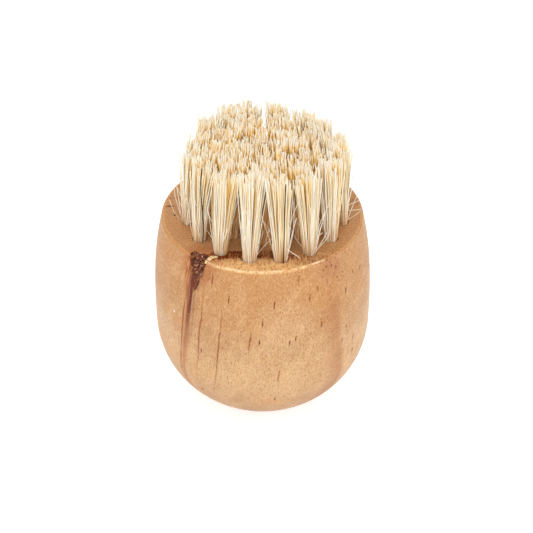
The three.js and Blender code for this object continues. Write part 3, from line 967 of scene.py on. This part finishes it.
def whole_paths(root, tip, tall, bow, wave):
    """Stations of whole fibres: the folded root, then a free part that leans by a power of its height.

    A bow is half a sine wave over the free part, and a wave a whole one.
    """
    up = FREE_HEIGHTS
    lean = EARLY_LEAN * up + (1 - EARLY_LEAN) * up**LEAN_POWER
    half_wave = np.sin(np.pi * up)[:, None]
    whole_wave = np.sin(2 * np.pi * up)[:, None]
    paths = np.empty((len(root), len(up), 3))
    paths[..., :2] = root[:, None] + (tip - root)[:, None] * lean[:, None]
    paths[..., :2] += bow[:, None] * half_wave + wave[:, None] * whole_wave
    paths[..., 2] = tall[:, None] * up
    return np.concatenate([root_paths(root), paths], axis=1)


def bundle(ring, length, draw, rng):
    """The packed fibres of a tuft: roots spread evenly over the hole, leaning out by their offset.

    The outermost flare more, neighbours draw together into locks, and the tuft leans in over the field.
    """
    order = np.arange(FIBRES)
    share = np.sqrt((order + 0.5) / FIBRES)
    turn = order * GOLDEN_ANGLE + rng.uniform(0, 2 * np.pi)
    offset = np.stack([np.cos(turn), np.sin(turn)], -1) * share[:, None]
    lock, nearest = nearest_lock(offset, rng)
    fan = (CORE_FAN[ring] + EDGE_FLARE * share**FLARE_POWER)[:, None]
    gathered = offset + LOCK_PULL * (lock[nearest] - offset)
    root = offset * ROOT_RADIUS + rng.normal(0, ROOT_SHAKE, (FIBRES, 2))
    tip = draw + gathered * fan + rng.normal(0, TIP_SHAKE, (FIBRES, 2)) + rng.normal(0, TUFT_SHAKE, 2)
    tall = length + rng.normal(0, TUFT_UNEVEN) + rng.normal(0, LOCK_UNEVEN, LOCKS)[nearest]
    tall = tall - np.abs(rng.normal(0, FIBRE_DROP, FIBRES))
    tall += np.where(rng.random(FIBRES) < LONG_SHARE, rng.uniform(*LONG_EXTRA, FIBRES), 0.0)
    tall = np.minimum(tall, length + rng.uniform(*TALLEST_EXTRA, FIBRES))
    bow = rng.normal(0, FIBRE_BOW, (FIBRES, 2))
    paths = whole_paths(root, tip, tall, bow, rng.normal(0, FIBRE_WAVE, (FIBRES, 2)))
    tone = rng.normal(MEAN_TONE, FIBRE_TONE, FIBRES) + rng.normal(0, LOCK_TONE, LOCKS)[nearest]
    facing = offset @ draw / np.linalg.norm(draw)
    outer = ring == "outer"
    inside = 1.0 - outer * smooth_step(*OPEN_SHARE, share)
    buried = 1.0 - outer * smooth_step(*LIT_SHARE, share) * smooth_step(*TURNED_OUT, facing)
    radius = FIBRE_RADIUS * rng.uniform(*FIBRE_SPREAD, FIBRES)
    return paths, np.clip(tone, *TONE_LIMITS), inside, buried, radius


def loose_fibres(paths, tone, radius):
    """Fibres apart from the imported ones: neither inside the tuft nor buried, and all of one thickness."""
    count = len(paths)
    return paths, np.full(count, tone), np.zeros(count), np.zeros(count), np.full(count, radius)


def strays(rng):
    """Thin loose fibres that leave the edge of a tuft and lean far out."""
    turn = rng.uniform(0, 2 * np.pi, STRAYS)
    out = np.stack([np.cos(turn), np.sin(turn)], -1)
    root = out * ROOT_RADIUS * STRAY_ROOT
    tip = out * rng.uniform(*STRAY_REACH, (STRAYS, 1)) + rng.normal(0, STRAY_SHAKE, (STRAYS, 2))
    tall = rng.uniform(*STRAY_HEIGHT, STRAYS)
    bow = rng.normal(0, STRAY_BOW, (STRAYS, 2))
    paths = whole_paths(root, tip, tall, bow, rng.normal(0, STRAY_WAVE, (STRAYS, 2)))
    return loose_fibres(paths, rng.uniform(*STRAY_TONE, STRAYS), STRAY_RADIUS)


def dark_fibre(draw, root, tip, tall, wave):
    """One dark fibre on the front of a tuft."""
    tip = draw + np.array([tip])
    path = whole_paths(np.array([root]), tip, np.array([tall]), np.zeros((1, 2)), np.array([[wave, 0.0]]))
    return loose_fibres(path, DARK_TONE, DARK_RADIUS)


def bent_fibre(seat, points):
    """One bent fibre along listed points, which are in the brush's frame above the top face."""
    stations = np.linspace(0, len(points) - 1, FIBRE_STATIONS)
    path = np.stack([np.interp(stations, np.arange(len(points)), axis) for axis in np.array(points).T], -1)
    return loose_fibres(path[None] - (*seat, 0.0), BENT_TONE, STRAY_RADIUS)


def make_tuft(label, rng):
    """A tuft of packed fibres with a few strays, and the dark and bent fibres that belong to it."""
    seat = box_centre(f"anchor_{label}")[:2]
    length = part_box(f"tuft_{label}")[1][2] / MM - BODY_HEIGHT
    draw = (FIELD_CENTRE - seat) * TIP_DRAW / FIELD_RADIUS + SPLAY.get(label, (0.0, 0.0))
    groups = [bundle(label.split("_")[0], length, draw, rng), strays(rng)]
    groups += [dark_fibre(draw, *fibre) for owner, *fibre in DARK_FIBRES if owner == label]
    groups += [bent_fibre(seat, points) for owner, points in BENT_FIBRES if owner == label]
    paths, tone, inside, buried, thickness = (np.concatenate(parts) for parts in zip(*groups))
    return fibre_mesh(f"bristles_{label}", paths + (*seat, BODY_HEIGHT), tone, inside, buried, thickness)


# Stage

def make_floor():
    """A pale floor, flat and far wider than the view, lifted to white where the camera or a gloss sees it."""
    corners = FLOOR_REACH * np.array([(-1.0, -1.0, 0.0), (1.0, -1.0, 0.0), (1.0, 1.0, 0.0), (-1.0, 1.0, 0.0)])
    floor = make_mesh("floor", corners, np.arange(4), np.array([4]), smooth=False)
    paint = Shader("pale_floor")
    paint.surface.inputs["Base Color"].default_value = PALE_PAINT
    paint.surface.inputs["Roughness"].default_value = 0.9
    paint.surface.inputs["Emission Color"].default_value = (1, 1, 1, 1)
    rays = paint.add("ShaderNodeLightPath").outputs
    seen = paint.math("MAXIMUM", rays["Is Camera Ray"], rays["Is Glossy Ray"])
    paint.put(paint.surface.inputs["Emission Strength"], paint.math("MULTIPLY", seen, FLOOR_LIFT))
    floor.data.materials.append(paint.material)


def make_light(name, place, size, power):
    """A square soft box that faces the middle of the brush."""
    lamp = bpy.data.lights.new(name, "AREA")
    lamp.size = size * MM
    lamp.energy = power
    light = bpy.data.objects.new(name, lamp)
    light.location = [part * MM for part in place]
    aim = np.array([0, 0, AIM_HEIGHT]) - np.array(place)
    tilt = math.acos(-aim[2] / np.linalg.norm(aim))
    light.rotation_euler = (tilt, 0, math.atan2(aim[1], aim[0]) - math.pi / 2)
    bpy.context.scene.collection.objects.link(light)


def make_world():
    """White all round to the eye and in reflections, and a softer white as light."""
    world = bpy.data.worlds.new("studio")
    world.use_nodes = True
    nodes, links = world.node_tree.nodes, world.node_tree.links
    sky = nodes["Background"]
    sky.inputs["Color"].default_value = (1, 1, 1, 1)
    rays = nodes.new("ShaderNodeLightPath")
    seen = nodes.new("ShaderNodeMath")
    seen.operation = "MAXIMUM"
    links.new(rays.outputs["Is Camera Ray"], seen.inputs[0])
    links.new(rays.outputs["Is Glossy Ray"], seen.inputs[1])
    strength = nodes.new("ShaderNodeMapRange")
    strength.inputs["To Min"].default_value = SKY_LIGHT
    links.new(seen.outputs[0], strength.inputs["Value"])
    links.new(strength.outputs[0], sky.inputs["Strength"])
    bpy.context.scene.world = world


def make_camera():
    """The photograph's camera: it looks down along +Y, with the block's axis a little left of the middle."""
    lens = bpy.data.cameras.new("camera")
    lens.sensor_width = SENSOR_WIDTH
    lens.lens = SENSOR_WIDTH * FOCAL_PIXELS / IMAGE_SIZE
    lens.clip_start = NEAREST_SEEN
    tilt = math.radians(CAMERA_ELEVATION)
    beside = (IMAGE_SIZE / 2 - AXIS_COLUMN) * CAMERA_DISTANCE / FOCAL_PIXELS
    before = CAMERA_DISTANCE * math.cos(tilt)
    above = CAMERA_DISTANCE * math.sin(tilt)
    camera = bpy.data.objects.new("camera", lens)
    camera.location = np.array([beside, -before, AIM_HEIGHT + above]) * MM
    camera.rotation_euler = (math.pi / 2 - tilt, 0, 0)
    bpy.context.scene.collection.objects.link(camera)
    bpy.context.scene.camera = camera


TUFTS = sorted(node.removeprefix("tuft_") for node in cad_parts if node.startswith("tuft_"))
OUTER_SEATS = np.array([box_centre(f"anchor_{label}")[:2] for label in TUFTS if label.startswith("outer_")])
FIELD_CENTRE = OUTER_SEATS.mean(0)
FIELD_RADIUS = np.linalg.norm(OUTER_SEATS - FIELD_CENTRE, axis=1).mean()

make_camera()
make_world()
make_floor()
for soft_box in SOFT_BOXES:
    make_light(*soft_box)
bpy.context.scene.view_settings.view_transform = "Standard"

block = make_block()
mark_block(block)
block.data.materials.append(wood_material())
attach(block, "root")
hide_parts("wooden_block")

splinter = make_splinter()
splinter.data.materials.append(splinter_material())
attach(splinter, "root")

bristle = bristle_material()
wire = anchor_material()
rng = np.random.default_rng(BRISTLE_SEED)
for label in TUFTS:
    tuft = make_tuft(label, rng)
    tuft.data.materials.append(bristle)
    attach(tuft, "root")
    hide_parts(f"tuft_{label}")
    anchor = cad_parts[f"anchor_{label}"]
    anchor.data.materials.clear()
    anchor.data.materials.append(wire)
